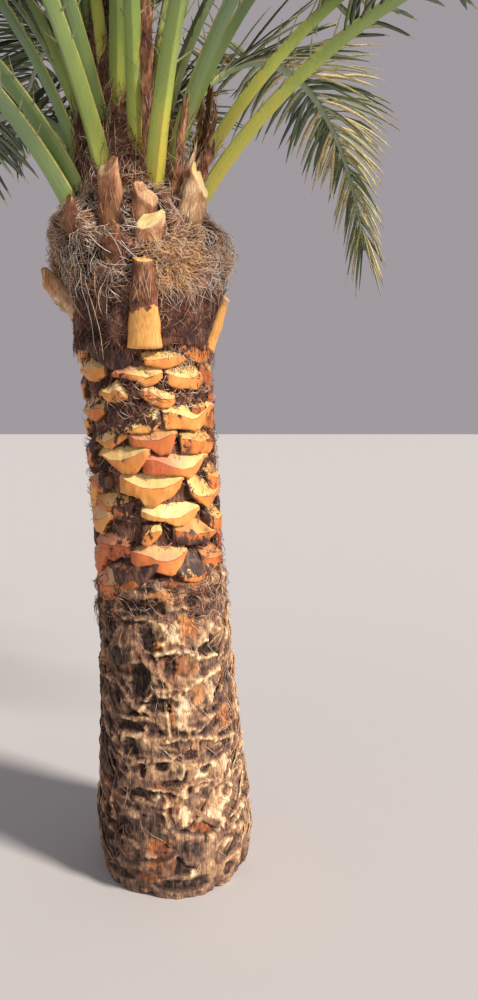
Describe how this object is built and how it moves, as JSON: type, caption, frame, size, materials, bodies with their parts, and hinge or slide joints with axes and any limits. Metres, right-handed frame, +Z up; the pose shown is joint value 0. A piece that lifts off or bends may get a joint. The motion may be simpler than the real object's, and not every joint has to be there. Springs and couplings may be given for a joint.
{
  "type": "date palm tree",
  "caption": "Young date palm with a trimmed, slightly leaning trunk of spiralled leaf bases, a shaggy fibre collar with petiole stubs, and a full crown of arching feather fronds.",
  "frame": {"origin": "centre of the trunk's flat cut at ground level", "axes": "+Z up; -Y towards the viewer of the picture, +X to that viewer's right; the trunk leans a little towards -X"},
  "size_m": [4.835, 4.4478, 4.4134],
  "materials": {
    "trunk_bark": "rough leaf bases, weathered grey-brown below and freshly cut orange above",
    "fibre": "matted dry brown fibre",
    "cut_petiole": "dry tan petiole with a pale cut end",
    "frond": "waxy green petiole and grey-green leaflets",
    "spear": "pale green folded leaf"
  },
  "bodies": {
    "root": {"trunk": "trunk_bark", "fibre_collar": "fibre", "petiole_stub_1": "cut_petiole", "petiole_stub_2": "cut_petiole", "petiole_stub_3": "cut_petiole", "petiole_stub_4": "cut_petiole", "petiole_stub_5": "cut_petiole", "petiole_stub_6": "cut_petiole", "petiole_stub_7": "cut_petiole", "petiole_stub_8": "cut_petiole", "petiole_stub_9": "cut_petiole", "petiole_stub_10": "cut_petiole", "petiole_stub_11": "cut_petiole", "petiole_stub_12": "cut_petiole", "petiole_stub_13": "cut_petiole", "petiole_stub_14": "cut_petiole", "petiole_stub_15": "cut_petiole", "petiole_stub_16": "cut_petiole", "petiole_stub_17": "cut_petiole", "frond_1": "frond", "frond_2": "frond", "frond_3": "frond", "frond_4": "frond", "frond_5": "frond", "frond_6": "frond", "frond_7": "frond", "frond_8": "frond", "frond_9": "frond", "frond_10": "frond", "frond_11": "frond", "frond_12": "frond", "frond_13": "frond", "frond_14": "frond", "frond_15": "frond", "frond_16": "frond", "frond_17": "frond", "frond_18": "frond", "frond_19": "frond", "frond_20": "frond", "frond_21": "frond", "frond_22": "frond", "frond_23": "frond", "frond_24": "frond", "frond_25": "frond", "frond_26": "frond", "frond_27": "frond", "frond_28": "frond", "frond_29": "frond", "frond_30": "frond", "frond_31": "frond", "frond_32": "frond", "frond_33": "frond", "spear_1": "spear", "spear_2": "spear"}
  },
  "joints": []
}
